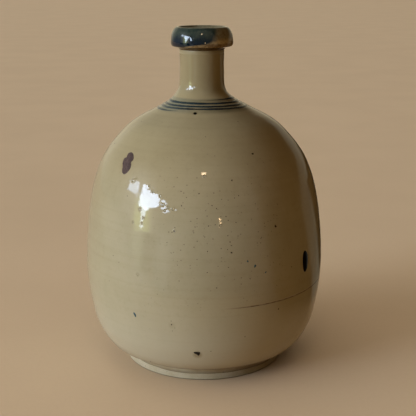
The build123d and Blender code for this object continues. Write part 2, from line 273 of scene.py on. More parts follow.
# ------------------------------------------------------------------ node tools
class Mat:
    """A node material round one Principled shader."""

    def __init__(self, name, rough=0.2, ior=1.5):
        self.m = bpy.data.materials.new(name)
        self.m.use_nodes = True
        self.nt = self.m.node_tree
        self.bsdf = self.nt.nodes["Principled BSDF"]
        self.bsdf.inputs["Roughness"].default_value = rough
        self.bsdf.inputs["IOR"].default_value = ior
        tc = self.nt.nodes.new("ShaderNodeTexCoord")
        self.co = tc.outputs["Object"]
        self._xyz = None

    def put(self, socket, value):
        if isinstance(value, bpy.types.NodeSocket):
            self.nt.links.new(value, socket)
        elif value is not None:
            socket.default_value = value

    def xyz(self):
        if self._xyz is None:
            n = self.nt.nodes.new("ShaderNodeSeparateXYZ")
            self.nt.links.new(self.co, n.inputs[0])
            self._xyz = n.outputs
        return self._xyz

    def math(self, op, a, b=None, c=None, clamp=False):
        n = self.nt.nodes.new("ShaderNodeMath")
        n.operation = op
        n.use_clamp = clamp
        for i, v in enumerate((a, b, c)):
            if v is not None:
                self.put(n.inputs[i], v)
        return n.outputs[0]

    def span(self, value, a, b, lo=0.0, hi=1.0):
        """value eased from lo at a to hi at b."""
        n = self.nt.nodes.new("ShaderNodeMapRange")
        n.interpolation_type = "SMOOTHSTEP"
        for i, v in enumerate((value, a, b, lo, hi)):
            self.put(n.inputs[i], v)
        return n.outputs[0]

    def noise(self, scale, detail=3.0, rough=0.5, vector=None, stretch=None, distort=0.0):
        v = vector or self.co
        if stretch:
            s = self.nt.nodes.new("ShaderNodeVectorMath")
            s.operation = "MULTIPLY"
            self.put(s.inputs[0], v)
            s.inputs[1].default_value = stretch
            v = s.outputs[0]
        n = self.nt.nodes.new("ShaderNodeTexNoise")
        self.nt.links.new(v, n.inputs["Vector"])
        n.inputs["Scale"].default_value = scale
        n.inputs["Detail"].default_value = detail
        n.inputs["Roughness"].default_value = rough
        n.inputs["Distortion"].default_value = distort
        return n.outputs["Fac"]

    def cells(self, scale, feature="F1", rand=1.0, vector=None):
        n = self.nt.nodes.new("ShaderNodeTexVoronoi")
        n.feature = feature
        self.nt.links.new(vector or self.co, n.inputs["Vector"])
        n.inputs["Scale"].default_value = scale
        n.inputs["Randomness"].default_value = rand
        return n

    def near(self, point):
        """Distance in metres from a point given in mm."""
        n = self.nt.nodes.new("ShaderNodeVectorMath")
        n.operation = "DISTANCE"
        self.nt.links.new(self.co, n.inputs[0])
        n.inputs[1].default_value = [c * MM for c in point]
        return n.outputs["Value"]

    def mix(self, fac, a, b):
        n = self.nt.nodes.new("ShaderNodeMix")
        n.data_type = "RGBA"
        self.put(n.inputs[0], fac)
        self.put(n.inputs[6], a if isinstance(a, bpy.types.NodeSocket) else (*a, 1.0))
        self.put(n.inputs[7], b if isinstance(b, bpy.types.NodeSocket) else (*b, 1.0))
        return n.outputs[2]

    def bump(self, height, strength, distance, normal=None):
        n = self.nt.nodes.new("ShaderNodeBump")
        n.inputs["Strength"].default_value = strength
        n.inputs["Distance"].default_value = distance
        self.put(n.inputs["Height"], height)
        if normal is not None:
            self.nt.links.new(normal, n.inputs["Normal"])
        return n.outputs[0]

    def done(self, color, rough=None, normal=None):
        self.put(self.bsdf.inputs["Base Color"], color)
        if rough is not None:
            self.put(self.bsdf.inputs["Roughness"], rough)
        if normal is not None:
            self.put(self.bsdf.inputs["Normal"], normal)
        return self.m


def srgb(r, g, b):
    """An 8-bit display colour as linear values."""
    return tuple(((c / 255 + 0.055) / 1.055) ** 2.4 if c > 10 else c / 255 / 12.92 for c in (r, g, b))


# -------------------------------------------------------------- marks, in place
def at(az, z):
    return skin(math.radians(az), z).tolist()


TOP_SPOT = [(-102.57, 200.93), (-101.99, 201.52), (-100.35, 201.71), (-98.69, 201.39),
            (-97.86, 200.88), (-98.55, 200.35), (-99.96, 200.16), (-101.51, 200.43)]
HEART = [(-94.84, 33.69), (-93.92, 34.11), (-92.72, 34.07), (-91.77, 33.92), (-91.74, 32.14),
         (-92.14, 30.98), (-92.69, 30.28), (-93.16, 31.23), (-93.82, 31.77), (-94.53, 32.49)]
OVAL = [(-35.55, 101.19), (-34.3, 99.67), (-33.44, 96.99), (-33.29, 92.64), (-33.88, 88.21),
        (-34.95, 85.31), (-36.23, 84.4), (-37.39, 86.62), (-37.96, 89.98), (-38.11, 94.68),
        (-37.63, 98.72), (-36.75, 100.9)]
TICK = [(-123.77, 60.85), (-123.08, 60.77), (-122.48, 59.69), (-122.32, 58.03),
        (-122.62, 57.03), (-123.05, 57.36), (-123.53, 58.66), (-123.84, 59.85)]
PATCH = [(-138.39, 174.36), (-136.23, 174.04), (-133.83, 171.75), (-133.39, 169.48),
         (-134.09, 168.35), (-133.13, 166.5), (-132.78, 164.53), (-133.2, 162.74),
         (-134.04, 160.87), (-135.88, 159.39), (-137.6, 160.13), (-138.7, 161.99),
         (-139.18, 163.97), (-140.73, 166.43), (-141.29, 168.39), (-141.14, 169.8),
         (-139.85, 170.72), (-140.18, 172.36), (-140.05, 173.4), (-139.1, 174.04)]
SPECKS = [  # azimuth, height, radius, dark (1) or faint brown (0)
    (-155.44, 192.72, 0.45, 1), (-59.89, 175.67, 1.0, 1), (-75.64, 160.03, 0.75, 1),
    (-73.05, 149.67, 0.5, 0), (-88.77, 187.6, 0.45, 0), (-55.16, 125.45, 1.1, 1),
    (-79.17, 122.76, 0.5, 0), (-77.66, 110.56, 0.75, 1), (-84.36, 85.45, 0.55, 0),
    (-88.42, 96.88, 0.5, 0), (-53.83, 62.54, 0.8, 0), (-135.62, 100.47, 0.5, 0),
    (-131.55, 96.93, 0.45, 0), (-138.29, 79.97, 0.45, 0), (-101.47, 101.73, 0.4, 0),
    (-89.44, 122.3, 0.5, 0), (-103.26, 125.76, 0.55, 1), (-104.54, 56.02, 0.75, 0),
    (-104.63, 58.92, 0.45, 0), (-103.08, 53.47, 0.4, 0), (-104.39, 50.78, 0.45, 0),
    (-120.74, 17.51, 0.6, 0), (-69.23, 90.3, 0.55, 0), (-46.44, 92.73, 0.6, 0),
    (-100.93, 153.08, 0.45, 0), (-92.17, 151.82, 0.5, 1), (-100.29, 143.48, 0.6, 0), (-99.64, 145.48, 0.4, 0),
    (-86.07, 143.84, 0.55, 0), (-87.77, 145.21, 0.4, 0), (-88.96, 140.57, 0.4, 0), (-84.01, 141.75, 0.45, 1),
    (-79.73, 136.07, 0.5, 1), (-87.77, 129.94, 0.5, 1), (-93.82, 129.22, 0.45, 0), (-94.61, 126.41, 0.45, 0),
    (-85.82, 120.83, 0.5, 0), (-78.24, 118.23, 0.55, 1), (-77.82, 115.71, 0.4, 0), (-79.43, 112.94, 0.45, 0),
    (-88.27, 112.05, 0.5, 0), (-98.63, 116.72, 0.5, 0), (-106.39, 117.35, 0.45, 0), (-105.71, 124.86, 0.4, 0),
    (-104.21, 124.82, 0.45, 1), (-102.99, 128.23, 0.4, 1), (-99.88, 105.2, 0.4, 0), (-92.85, 106.31, 0.4, 0),
    (-100.71, 90.21, 0.45, 0), (-79.09, 100.04, 0.45, 0), (-75.19, 131.6, 0.5, 0), (-104.43, 110.11, 0.4, 0),
    (-82.13, 153.44, 0.4, 0), (-98.09, 149.11, 0.4, 0), (-84.76, 130.69, 0.4, 1), (-75.18, 148.32, 0.45, 0),
]
BURST = [  # bubbles that burst in the glaze: azimuth, height, radius
    (-128.14, 156.72, 1.5), (-126.62, 158.7, 0.8), (-117.82, 154.98, 0.9), (-111.16, 149.0, 1.1),
    (-109.39, 143.31, 1.2), (-121.19, 138.19, 1.2), (-104.28, 140.73, 1.2), (-118.87, 132.75, 1.0),
    (-124.44, 128.42, 1.1), (-108.27, 139.55, 0.9), (-103.08, 125.85, 1.1), (-119.56, 128.94, 0.8),
    (-106.71, 141.71, 0.8), (-115.5, 151.13, 0.8), (-89.51, 163.05, 1.0), (-82.46, 130.24, 1.0),
    (-120.6, 91.15, 1.2),
]
TEAL_SPECKS = [(-66.79, 99.24, 1.0), (-70.29, 103.26, 0.75), (-61.5, 93.4, 0.7)]


# -------------------------------------------------------------------- materials
def straw_material():
    t = Mat("straw_glaze_gloss", 0.12, 1.5)
    x, y, z = t.xyz()
    broad = t.noise(9.0, 3.0, 0.55)
    cloud = t.noise(38.0, 4.0, 0.6, stretch=(1, 1, 0.55))
    fine = t.noise(300.0, 3.0, 0.6)
    thrown = t.noise(42.0, 3.0, 0.6, stretch=(0.10, 0.10, 9.0))
    col = t.mix(t.span(broad, 0.35, 0.68), srgb(190, 179, 145), srgb(180, 167, 131))
    col = t.mix(t.span(z, 0.115, 0.185, 0.0, 0.72), col, srgb(188, 167, 124))
    col = t.mix(t.span(cloud, 0.38, 0.72, 0.0, 0.45), col,
                t.mix(t.span(z, 0.11, 0.17), srgb(174, 165, 131), srgb(176, 159, 118)))
    col = t.mix(t.span(thrown, 0.46, 0.76, 0.0, 0.13), col, srgb(160, 144, 106))
    col = t.mix(t.span(fine, 0.50, 0.80, 0.0, 0.16), col, srgb(150, 132, 94))
    col = t.mix(t.span(z, 0.080, 0.014, 0.0, 0.62), col, srgb(205, 199, 174))
    col = t.mix(t.span(z, 0.207, 0.217, 0.0, 0.72), col, srgb(150, 137, 101))
    # thinner and browner where the glaze ran off the foot; under the lip the brown band is partly thin glaze and
    # partly painted shade from the collar
    low = t.math("MULTIPLY", t.span(z, 0.024, 0.0075), t.span(cloud, 0.25, 0.62))
    col = t.mix(t.math("MULTIPLY", low, 0.70), col, srgb(142, 118, 76))
    edge = t.span(t.math("ADD", z, t.math("MULTIPLY", cloud, 0.0022)), 0.0092, 0.0062)
    col = t.mix(t.math("MULTIPLY", edge, 0.70), col, srgb(96, 78, 48))
    # painted shade: a brown band on the top of the neck, where the collar's shadow falls
    high = t.span(z, 0.2440, 0.2458)
    col = t.mix(t.math("MULTIPLY", high, 0.35), col, srgb(128, 102, 62))
    # the luted seam shows as a fine brown line on the right, round to the back
    ang = t.math("ARCTAN2", y, x)
    level = t.math("ADD", t.math("MULTIPLY", t.math("SINE", t.math("ADD", ang, 0.9)), 0.00022),
                   (RING_Z + 0.12) * MM)
    off = t.math("ABSOLUTE", t.math("SUBTRACT", z, level))
    deg = t.math("MODULO", t.math("ADD", ang, math.pi / 2 + 2 * math.pi), 2 * math.pi)
    show = t.math("MULTIPLY", t.span(deg, math.radians(7), math.radians(24)),
                  t.span(deg, math.radians(275), math.radians(215)))
    line = t.math("MULTIPLY", t.span(off, 0.00062, 0.00018), show)
    line = t.math("MULTIPLY", line, t.span(t.noise(160.0, 2.0), 0.3, 0.55, 0.45, 1.0))
    col = t.mix(t.math("MULTIPLY", line, 0.85), col, srgb(92, 62, 30))
    # a thin blue-grey wash between the strokes of the brush, with painted light and shade: paler and bluer on the
    # lit left, darker on the shaded right
    wash = t.math("MULTIPLY", t.span(z, 0.1998, 0.2022), t.span(z, 0.2104, 0.2088))
    wash = t.math("MULTIPLY", wash, t.span(t.noise(90.0, 3.0, 0.6, stretch=(0.5, 0.5, 3.0)), 0.3, 0.7, 0.35, 0.75))
    col = t.mix(wash, col, t.mix(t.span(x, 0.010, -0.030), srgb(92, 88, 64), srgb(112, 122, 108)))
    # brown halos round the iron bleeds
    for az, h, reach, deep in ((-100.3, 201.0, 3.4, 0.35), (-93.0, 31.3, 4.6, 0.45),
                               (-35.7, 92.8, 8.6, 0.35), (-104.3, 55.0, 3.6, 0.12),
                               (-137.0, 167.0, 9.0, 0.25)):
        d = t.near(at(az, h))
        glow = t.math("MULTIPLY", t.span(d, reach * MM, reach * 0.35 * MM), deep)
        col = t.mix(glow, col, srgb(128, 104, 62))
    # pinholes and small dark specks, thickest on the middle of the belly
    def dots(scale, keep, size, shift):
        s = t.nt.nodes.new("ShaderNodeVectorMath")
        s.operation = "ADD"
        t.nt.links.new(t.co, s.inputs[0])
        s.inputs[1].default_value = shift
        v = t.cells(scale, vector=s.outputs[0])
        pick = t.nt.nodes.new("ShaderNodeSeparateColor")
        t.nt.links.new(v.outputs["Color"], pick.inputs[0])
        chosen = t.math("LESS_THAN", pick.outputs[0], keep)
        spot = t.span(v.outputs["Distance"], size, size * 0.45)
        return t.math("MULTIPLY", spot, chosen)
    band = t.math("MULTIPLY", t.span(z, 0.05, 0.09), t.span(z, 0.2, 0.15))
    turn = t.math("ADD", ang, math.radians(82) + 3 * math.pi)
    away = t.math("ABSOLUTE", t.math("SUBTRACT", t.math("MODULO", turn, 2 * math.pi), math.pi))
    thick = t.math("MULTIPLY", t.span(away, math.radians(44), math.radians(20)),
                   t.span(t.noise(60.0, 2.0, 0.6), 0.38, 0.60, 0.25, 1.0))
    rear = t.math("MULTIPLY", t.span(t.noise(22.0, 2.0, 0.6), 0.46, 0.62), t.span(y, -0.02, 0.03, 0.0, 0.6))
    thick = t.math("MAXIMUM", thick, rear)
    holes = t.math("MULTIPLY", dots(420.0, 0.34, 0.23, (0.3, 0.1, 0.7)),
                   t.math("MULTIPLY_ADD", t.math("MULTIPLY", band, thick), 0.74, 0.04))
    holes2 = t.math("MULTIPLY", dots(200.0, 0.05, 0.130, (0.9, 0.4, 0.2)), 0.8)
    col = t.mix(t.math("MULTIPLY", holes, 0.85), col, srgb(62, 52, 34))
    col = t.mix(t.math("MULTIPLY", holes2, 0.8), col, srgb(52, 42, 28))
    # gloss and surface
    rough = t.math("ADD", t.span(t.noise(60.0, 3.0, 0.6), 0.3, 0.75, 0.035, 0.085),
                   t.math("MULTIPLY", edge, 0.15))
    rough = t.math("ADD", rough, t.span(z, 0.2400, 0.2445, 0.0, 0.45))
    peel = t.noise(210.0, 2.0, 0.5)
    ripple = t.noise(75.0, 2.0, 0.5, stretch=(0.35, 0.35, 2.2))
    pits = t.math("MULTIPLY", dots(560.0, 0.30, 0.30, (0.5, 0.8, 0.1)),
                  t.math("MULTIPLY_ADD", t.math("MULTIPLY", band, thick), 0.8, 0.2))
    craters = t.math("MULTIPLY", dots(250.0, 0.16, 0.24, (0.2, 0.6, 0.9)), t.math("MULTIPLY_ADD", thick, 0.7, 0.2))
    n = t.bump(ripple, 0.22, 0.0006)
    n = t.bump(peel, 0.14, 0.0004, n)
    n = t.bump(t.math("ADD", t.math("ADD", holes, holes2), pits), -0.8, 0.0005, n)
    n = t.bump(craters, -0.8, 0.0006, n)
    burst = None
    for az, h, r in BURST:
        d = t.near(at(az, h))
        rim = t.math("SUBTRACT", t.span(d, 1.45 * r * MM, 0.95 * r * MM, 0.0, 0.5),
                     t.span(d, 0.9 * r * MM, 0.35 * r * MM, 0.0, 1.2))
        burst = rim if burst is None else t.math("ADD", burst, rim)
    n = t.bump(burst, 0.7, 0.0007, n)
    t.bsdf.inputs["Specular IOR Level"].default_value = 0.5
    return t.done(col, rough, n)


def lip_material():
    t = Mat("lip_glaze_gloss", 0.08, 1.52)
    x, y, z = t.xyz()
    xn = t.math("SUBTRACT", x, NECK_X * MM)
    ang = t.math("ARCTAN2", y, xn)
    deg = t.math("MODULO", t.math("ADD", ang, math.pi / 2 + 2 * math.pi), 2 * math.pi)
    rad = t.math("SQRT", t.math("ADD", t.math("MULTIPLY", xn, xn), t.math("MULTIPLY", y, y)))
    cloud = t.noise(120.0, 3.0, 0.6)
    mott = t.noise(420.0, 3.0, 0.65)
    wav = t.math("SUBTRACT", cloud, 0.5)
    blue = t.mix(t.span(cloud, 0.3, 0.7), srgb(0, 20, 40), srgb(0, 26, 36))
    green = t.mix(t.span(mott, 0.3, 0.7), srgb(44, 58, 54), srgb(66, 74, 62))
    col = t.mix(t.span(t.math("ADD", z, t.math("MULTIPLY", wav, 0.007)), 0.2525, 0.2590), blue, green)
    # the dark glaze stops along a slanting edge on the right of the front
    k = t.span(z, 0.2480, 0.2535)
    start = t.math("MULTIPLY_ADD", k, math.radians(17), math.radians(4))
    start = t.math("MULTIPLY_ADD", t.span(z, 0.2530, 0.2612), math.radians(12), start)
    start = t.math("MULTIPLY_ADD", wav, 0.25, start)
    gone = t.math("SUBTRACT", deg, start)
    side = t.math("MULTIPLY", t.span(gone, -0.10, 0.16), t.span(deg, math.radians(215), math.radians(196)))
    brown = t.mix(t.span(t.math("MULTIPLY_ADD", wav, 0.004, z), 0.2522, 0.2550), srgb(190, 168, 122), srgb(138, 128, 98))
    brown = t.mix(t.span(mott, 0.35, 0.7, 0.0, 0.5), brown, srgb(104, 76, 40))
    # painted shade: the brown is darkened towards the right side and round the back, away from the light
    far = t.span(deg, math.radians(50), math.radians(85))
    brown = t.mix(t.math("MULTIPLY", far, 0.3), brown, srgb(112, 92, 60))
    col = t.mix(side, col, brown)
    # and breaks to olive on its lowest edge, higher up the roll towards the right
    hemz = t.math("MULTIPLY_ADD", t.span(t.math("MODULO", t.math("ADD", deg, math.pi), 2 * math.pi),
                                         math.radians(138), math.radians(196)), 0.0021, 0.2468)
    hemz = t.math("MULTIPLY_ADD", t.span(t.math("MODULO", t.math("ADD", deg, math.pi), 2 * math.pi),
                                         math.radians(124), math.radians(152)), 0.0014, hemz)
    below = t.math("SUBTRACT", t.math("MULTIPLY_ADD", wav, 0.0012, z), hemz)
    hem = t.span(below, 0.0005, -0.0005)
    col = t.mix(hem, col, t.mix(t.span(mott, 0.35, 0.65), srgb(150, 128, 90), srgb(116, 90, 52)))
    # the roll's underside darker brown: partly glaze pooling, partly painted shade under the collar
    col = t.mix(t.math("MULTIPLY", t.span(z, 0.24745, 0.2466), 0.85), col, srgb(70, 50, 22))
    # grey-green on the crest and down into the mouth
    inner = t.math("MULTIPLY", t.span(t.math("MULTIPLY_ADD", wav, 0.0015, rad), 0.0206, 0.0186), t.span(z, 0.252, 0.254))
    inside = t.mix(t.span(cloud, 0.35, 0.7), srgb(140, 136, 110), srgb(112, 100, 74))
    col = t.mix(t.math("MULTIPLY", inner, 0.92), col, inside)
    col = t.mix(t.span(mott, 0.55, 0.85, 0.0, 0.25), col, srgb(70, 80, 74))
    rough = t.span(cloud, 0.3, 0.7, 0.03, 0.07)
    n = t.bump(t.noise(230.0, 2.0, 0.5), 0.15, 0.0003)
    return t.done(col, rough, n)


def liner_material():
    t = Mat("liner_glaze_gloss", 0.14, 1.5)
    x, y, z = t.xyz()
    cloud = t.noise(60.0, 4.0, 0.6)
    rings = t.noise(26.0, 3.0, 0.6, stretch=(0.2, 0.2, 6.0))
    col = t.mix(t.span(cloud, 0.3, 0.7), srgb(142, 134, 104), srgb(112, 98, 70))
    col = t.mix(t.span(rings, 0.45, 0.75, 0.0, 0.4), col, srgb(92, 74, 48))
    n = t.bump(rings, 0.3, 0.0008)
    n = t.bump(t.noise(300.0, 2.0, 0.5), 0.15, 0.0003, n)
    return t.done(col, t.span(cloud, 0.3, 0.7, 0.1, 0.22), n)


def brush_material():
    t = Mat("brushed_line_gloss", 0.12, 1.5)
    x, y, z = t.xyz()
    streak = t.noise(150.0, 3.0, 0.6, stretch=(0.4, 0.4, 4.0))
    pool = t.noise(70.0, 3.0, 0.55)
    col = t.mix(t.span(streak, 0.3, 0.7), srgb(18, 30, 38), srgb(40, 56, 62))
    # painted light and shade: the line is paler slate on the lit left and black-brown on the shaded right
    left = t.span(x, -0.004, -0.036)
    col = t.mix(t.math("MULTIPLY", left, 0.6), col, srgb(70, 90, 94))
    right = t.span(x, 0.004, 0.026)
    col = t.mix(t.math("MULTIPLY", right, 0.8), col, srgb(26, 22, 16))
    col = t.mix(t.span(pool, 0.55, 0.85, 0.0, 0.4), col, srgb(84, 80, 62))
    n = t.bump(streak, 0.25, 0.0003)
    n = t.bump(t.noise(380.0, 2.0), 0.15, 0.0002, n)
    return t.done(col, t.span(pool, 0.3, 0.7, 0.1, 0.2), n)


def iron_material():
    t = Mat("iron_spot_gloss", 0.08, 1.55)
    mott = t.noise(900.0, 3.0, 0.6)
    slow = t.noise(260.0, 3.0, 0.6)
    col = t.mix(t.span(slow, 0.35, 0.7), srgb(9, 6, 5), srgb(20, 12, 8))
    col = t.mix(t.span(mott, 0.5, 0.75, 0.0, 0.4), col, srgb(34, 22, 14))
    t.bsdf.inputs["Specular IOR Level"].default_value = 0.22
    n = t.bump(slow, 0.3, 0.0003)
    return t.done(col, t.span(mott, 0.3, 0.7, 0.06, 0.16), n)


def speck_material():
    t = Mat("iron_speck_gloss", 0.15, 1.5)
    mott = t.noise(1100.0, 3.0, 0.6)
    col = t.mix(t.span(mott, 0.35, 0.7), srgb(74, 58, 36), srgb(46, 34, 22))
    n = t.bump(mott, 0.3, 0.0002)
    return t.done(col, t.span(mott, 0.3, 0.7, 0.1, 0.25), n)


def teal_material():
    t = Mat("cobalt_speck_gloss", 0.15, 1.5)
    mott = t.noise(700.0, 3.0, 0.6)
    col = t.mix(t.span(mott, 0.35, 0.65), srgb(40, 74, 84), srgb(70, 100, 108))
    n = t.bump(mott, 0.3, 0.0002)
    return t.done(col, t.span(mott, 0.3, 0.7, 0.1, 0.25), n)


def patch_material():
    t = Mat("dry_slag_matt", 0.7, 1.45)
    grain = t.noise(1300.0, 4.0, 0.65)
    slow = t.noise(240.0, 3.0, 0.6, stretch=(1, 1, 0.4))
    col = t.mix(t.span(slow, 0.3, 0.7), srgb(104, 82, 74), srgb(78, 58, 52))
    col = t.mix(t.span(grain, 0.45, 0.75, 0.0, 0.6), col, srgb(56, 40, 36))
    n = t.bump(slow, 0.5, 0.0006)
    n = t.bump(grain, 0.7, 0.0004, n)
    return t.done(col, t.span(grain, 0.3, 0.7, 0.55, 0.85), n)


def clay_material(name, light, dark):
    t = Mat(name, 0.75, 1.45)
    x, y, z = t.xyz()
    grain = t.noise(1400.0, 4.0, 0.65)
    cloud = t.noise(70.0, 4.0, 0.6)
    turn = t.noise(34.0, 2.0, 0.6, stretch=(0.12, 0.12, 24.0))
    col = t.mix(t.span(cloud, 0.3, 0.7), light, dark)
    col = t.mix(t.span(turn, 0.45, 0.7, 0.0, 0.35), col, srgb(164, 146, 116))
    col = t.mix(t.span(grain, 0.52, 0.8, 0.0, 0.5), col, srgb(128, 104, 76))
    dots = t.cells(520.0)
    pick = t.nt.nodes.new("ShaderNodeSeparateColor")
    t.nt.links.new(dots.outputs["Color"], pick.inputs[0])
    sand = t.math("MULTIPLY", t.math("LESS_THAN", pick.outputs[0], 0.07),
                  t.span(dots.outputs["Distance"], 0.3, 0.14))
    col = t.mix(t.math("MULTIPLY", sand, 0.7), col, srgb(84, 62, 42))
    # painted contact shadow: darker along the bottom 1.2 mm, where the foot meets the floor
    col = t.mix(t.span(z, 0.0012, 0.0004, 0.0, 0.8), col, srgb(74, 58, 38))
    n = t.bump(turn, 0.35, 0.0006)
    n = t.bump(grain, 0.55, 0.0003, n)
    return t.done(col, t.span(grain, 0.3, 0.7, 0.6, 0.85), n)


STRAW = straw_material()
LIPM = lip_material()
LINERM = liner_material()
BRUSH = brush_material()
IRON = iron_material()
SPECK = speck_material()
TEAL = teal_material()
DRY = patch_material()
CLAY = clay_material("bare_foot_clay", srgb(196, 186, 158), srgb(180, 168, 136))
CLAY_IN = clay_material("clay_under_glaze", srgb(186, 166, 130), srgb(166, 142, 104))


def own(ob, slot, *nodes):
    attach(ob, "root")
    if nodes:
        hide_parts(*nodes)
    return ob


def circle(n):
    """Azimuths of n points, starting at the back so that the seam is there."""
    return math.pi / 2 + np.arange(n) * 2 * math.pi / n


# ------------------------------------------------------------------ straw glaze
def edge_wave(th):
    """The glaze's lower edge, as it wanders round the foot, in mm."""
    return (0.30 * np.sin(th * 2 + 0.4) + 0.22 * np.sin(th * 5 + 1.9)
            + 0.12 * np.sin(th * 11 + 0.3) + 0.07 * np.sin(th * 23 + 2.0))


def body_gap(p):
    z = p[1]
    if z < 8.5:
        return 0.55
    if abs(z - RING_Z) < 1.5:
        return 0.36
    if 196.5 < z < 216:
        return 1.15
    return 1.85


rows = spaced(CURVE, body_gap)
th = circle(352)
rings = []
for phi in np.radians((0, 22, 45, 68)):                # the rounded lower edge
    zz = 5.25 + 0.42 * (1 - math.cos(phi)) + edge_wave(th)
    rings.append(skin(th, zz, -0.44 + 0.44 * math.sin(phi)))
for r, z in rows:
    if z < 5.66:
        continue
    zz = z + edge_wave(th) * math.exp(-(z - 5.66) / 2.2)
    rings.append(skin(th, zz))
rings.append(skin(th, 245.95, -0.25))
for z in np.concatenate([np.linspace(245.8, 214, 9), np.linspace(210, 190, 7),
                         np.linspace(184, 20, 18), np.linspace(15, 7.2, 5)]):
    rings.append(plain(th, z, -0.42))
straw = own(ringed("straw_coat", rings, STRAW), "straw_glaze", "straw_glaze")


# -------------------------------------------------------------------- rolled lip
def turned(curve, n, x0, off=None):
    """Rings of a curve turned about the upright axis through x0."""
    a = circle(n)
    d = np.gradient(curve, axis=0)
    d /= np.linalg.norm(d, axis=1)[:, None] + 1e-12
    out = []
    for (r, z), (dr, dz) in zip(curve, d):
        o = off(a, r, z) if off else 0.0
        rr = r + o * dz
        out.append(np.stack([x0 + rr * np.cos(a), rr * np.sin(a), z - o * dr + 0 * a], 1))
    return out


def lip_relief(a, r, z):
    """The roll is not even: it leans, and the glaze lies thicker in places."""
    up = ease(z, 246.5, 250.0)
    crest = 1.0 - ease(z, 259.0, 261.6)
    out = up * crest * (0.10 * np.sin(2 * a + 0.8) + 0.06 * np.sin(3 * a + 2.1)
                        + 0.035 * np.sin(7 * a + z / 3.0))
    out = out - 0.10 * hump(z - 249.0, 0.5) * up
    return out


lip_rows = spaced(catmull(LIP), lambda p: 0.42)
lip_back = spaced(catmull(LIP_CLAY, 12), lambda p: 1.3)[::-1]
lip_rings = turned(lip_rows, 224, NECK_X, lip_relief) + turned(lip_back, 224, NECK_X)
lip = own(ringed("lip_coat", lip_rings, LIPM), "lip_glaze", "lip_glaze")

# ------------------------------------------------------------------- inside coat
def throw_rings(a, r, z):
    return 0.12 * np.sin(2 * np.pi * (z + 5 * (a % 6.2832) / 6.2832) / 9.0) * ease(r, 12, 40) * ease(z, 16, 30)


def lined_axis(z):
    t = np.clip((z - 198.0) / 16.0, 0, 1)
    return NECK_X * t * t * (3 - 2 * t)


liner_rows = spaced(catmull(LINED), lambda p: 1.2 if p[1] > 200 else 3.2)
liner_dir = np.gradient(liner_rows, axis=0)
liner_dir /= np.linalg.norm(liner_dir, axis=1)[:, None]
a = circle(160)
front, back = [], []
for (r, z), (dr, dz) in zip(liner_rows, liner_dir):
    o = throw_rings(a, r, z)
    cx = lined_axis(z)
    rr = r + o
    front.append(np.stack([cx + rr * np.cos(a), rr * np.sin(a), z + 0 * a], 1))
for (r, z), (dr, dz) in list(zip(liner_rows, liner_dir))[::-2]:
    cx = lined_axis(z)
    rr = r - 0.3 * dz
    back.append(np.stack([cx + rr * np.cos(a), rr * np.sin(a), z + 0.3 * dr + 0 * a], 1))
liner = own(ringed("liner_coat", front + back, LINERM), "liner_glaze", "liner_glaze")

# --------------------------------------------------------------------- bare foot
FOOT = [
    (54.0, 5.0), (53.9, 3.0), (54.0, 0.9), (54.7, 0.12), (56.2, 0.0), (59.0, 0.0),
    (61.9, 0.0), (62.85, 0.35), (63.15, 1.2), (63.2, 2.6), (63.16, 4.0), (62.95, 5.0),
    (62.6, 5.9), (62.25, 7.0),
]
foot_rows = spaced(catmull(FOOT), lambda p: 0.28 if p[0] > 61.5 else 0.9)
foot_rows[:, 1] = np.maximum(foot_rows[:, 1], 0.0)


def foot_relief(a, r, z):
    """Turning grooves, a few nicks and the slight slump of the clay."""
    side = ease(r, 61.6, 62.7) * ease(z, 0.5, 1.2)
    out = side * (0.035 * np.sin(2 * np.pi * z / 0.95 + 0.6 * np.sin(a)) - 0.05 * hump(z - 3.1, 0.35))
    out = out + side * 0.05 * np.sin(5 * a + 1.0) * np.sin(3 * a)
    return np.where(z < 0.3, 0.0, out)


foot_rings = turned(foot_rows, 288, 0.0, foot_relief)
foot_rings += turned(np.array([(60.0, 7.0), (57.2, 6.2), (56.2, 5.3)]), 288, 0.0)
foot = own(ringed("foot_clay", foot_rings, CLAY), "bare_stoneware", "foot_ring")

# the floor over the recess, with the spiral the turning tool left under it
a = circle(200)
disc_rings = []
for r in np.linspace(1.2, 56.6, 70):
    dz = 0.11 * np.cos(2 * np.pi * (r / 5.2 - a / 6.2832)) * ease(r, 0.0, 8.0) * (1 - ease(r, 53.5, 56.0))
    dz = dz + 0.5 * hump(r, 4.0)
    disc_rings.append(np.stack([r * np.cos(a), r * np.sin(a), FOOT_H + 0.02 + 0.14 + dz], 1))
disc_rings.append(np.stack([FLOOR_R * np.cos(a), FLOOR_R * np.sin(a), 5.6 + 0 * a], 1))
disc_rings.append(np.stack([FLOOR_R * np.cos(a), FLOOR_R * np.sin(a), FLOOR_Z - 0.2 + 0 * a], 1))
for r in (56.6, 40.0, 20.0, 2.0):
    disc_rings.append(np.stack([r * np.cos(a), r * np.sin(a), FLOOR_Z - 0.05 + 0 * a], 1))
disc = own(ringed("floor_clay", disc_rings, CLAY, cap_start=True, cap_end=True, loop=False),
           "bare_stoneware", "base_disc")

# The four clay sections between the coats keep their CAD shape
for node in ("belly_lower", "belly_upper", "neck", "mouth_collar"):
    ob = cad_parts[node]
    for s in ob.material_slots:
        s.material = CLAY_IN
    if not ob.material_slots:
        ob.data.materials.append(CLAY_IN)

